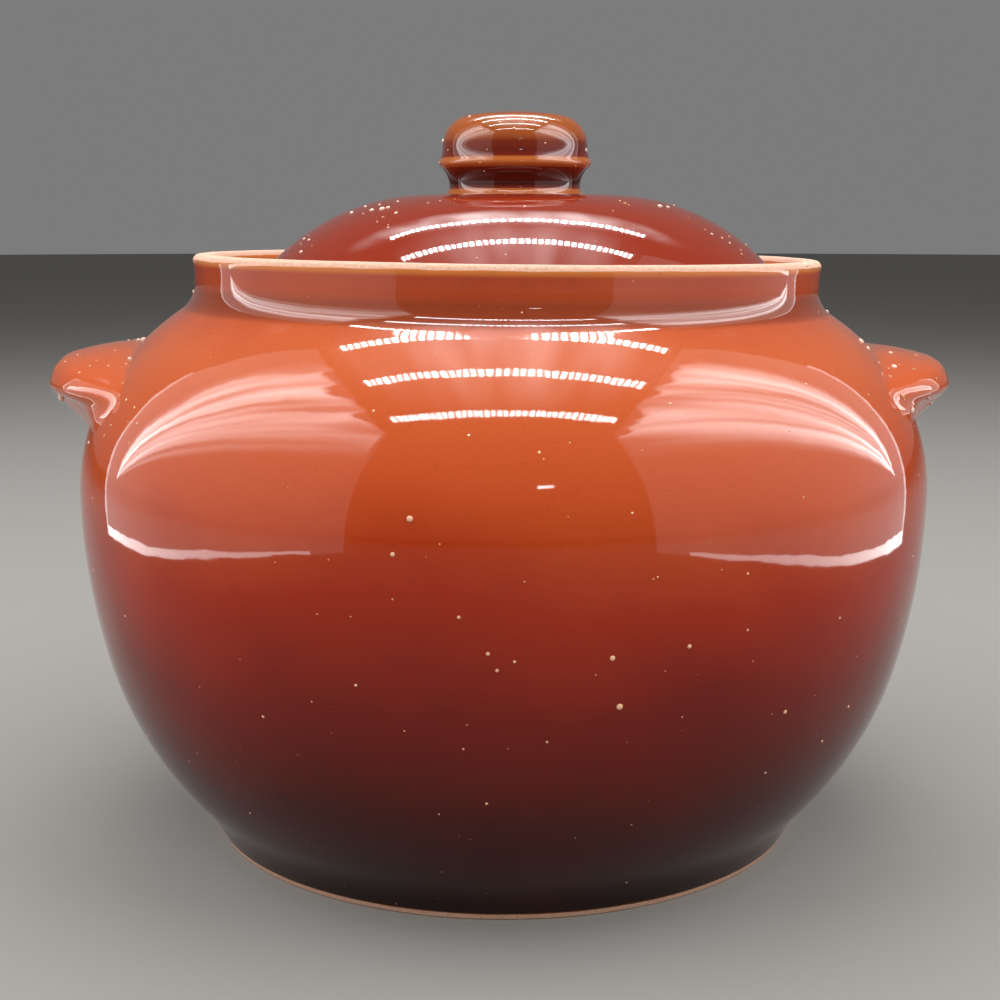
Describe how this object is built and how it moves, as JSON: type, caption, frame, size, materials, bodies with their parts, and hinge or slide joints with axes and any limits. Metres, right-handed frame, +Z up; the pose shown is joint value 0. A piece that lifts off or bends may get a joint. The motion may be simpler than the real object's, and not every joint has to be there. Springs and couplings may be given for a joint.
{
  "type": "bean pot",
  "caption": "Round-bellied glazed stoneware pot with a short collar, a lug on each shoulder, and a loose domed lid with a turned knob.",
  "frame": {"origin": "centre of the foot, on the surface that the pot stands on", "axes": "+Z up; +X towards the right lug, with the lugs on the X axis; -Y is the side that the pot is seen from"},
  "size_m": [0.2026, 0.188, 0.1596],
  "materials": {
    "glazed_stoneware": "glossy red-brown glaze, darker towards the bare clay foot",
    "glazed_stoneware_lid": "glossy red-brown glaze, amber where it thins on the knob"
  },
  "bodies": {
    "pot": {"pot_body": "glazed_stoneware", "left_lug": "glazed_stoneware", "right_lug": "glazed_stoneware"},
    "lid": {"lid_dome": "glazed_stoneware_lid", "lid_knob": "glazed_stoneware_lid"}
  },
  "joints": [
    {"name": "lid_lift", "type": "slide", "parent": "pot", "child": "lid", "axis": [0, 0, 1], "range_m": [0, 0.07]}
  ]
}
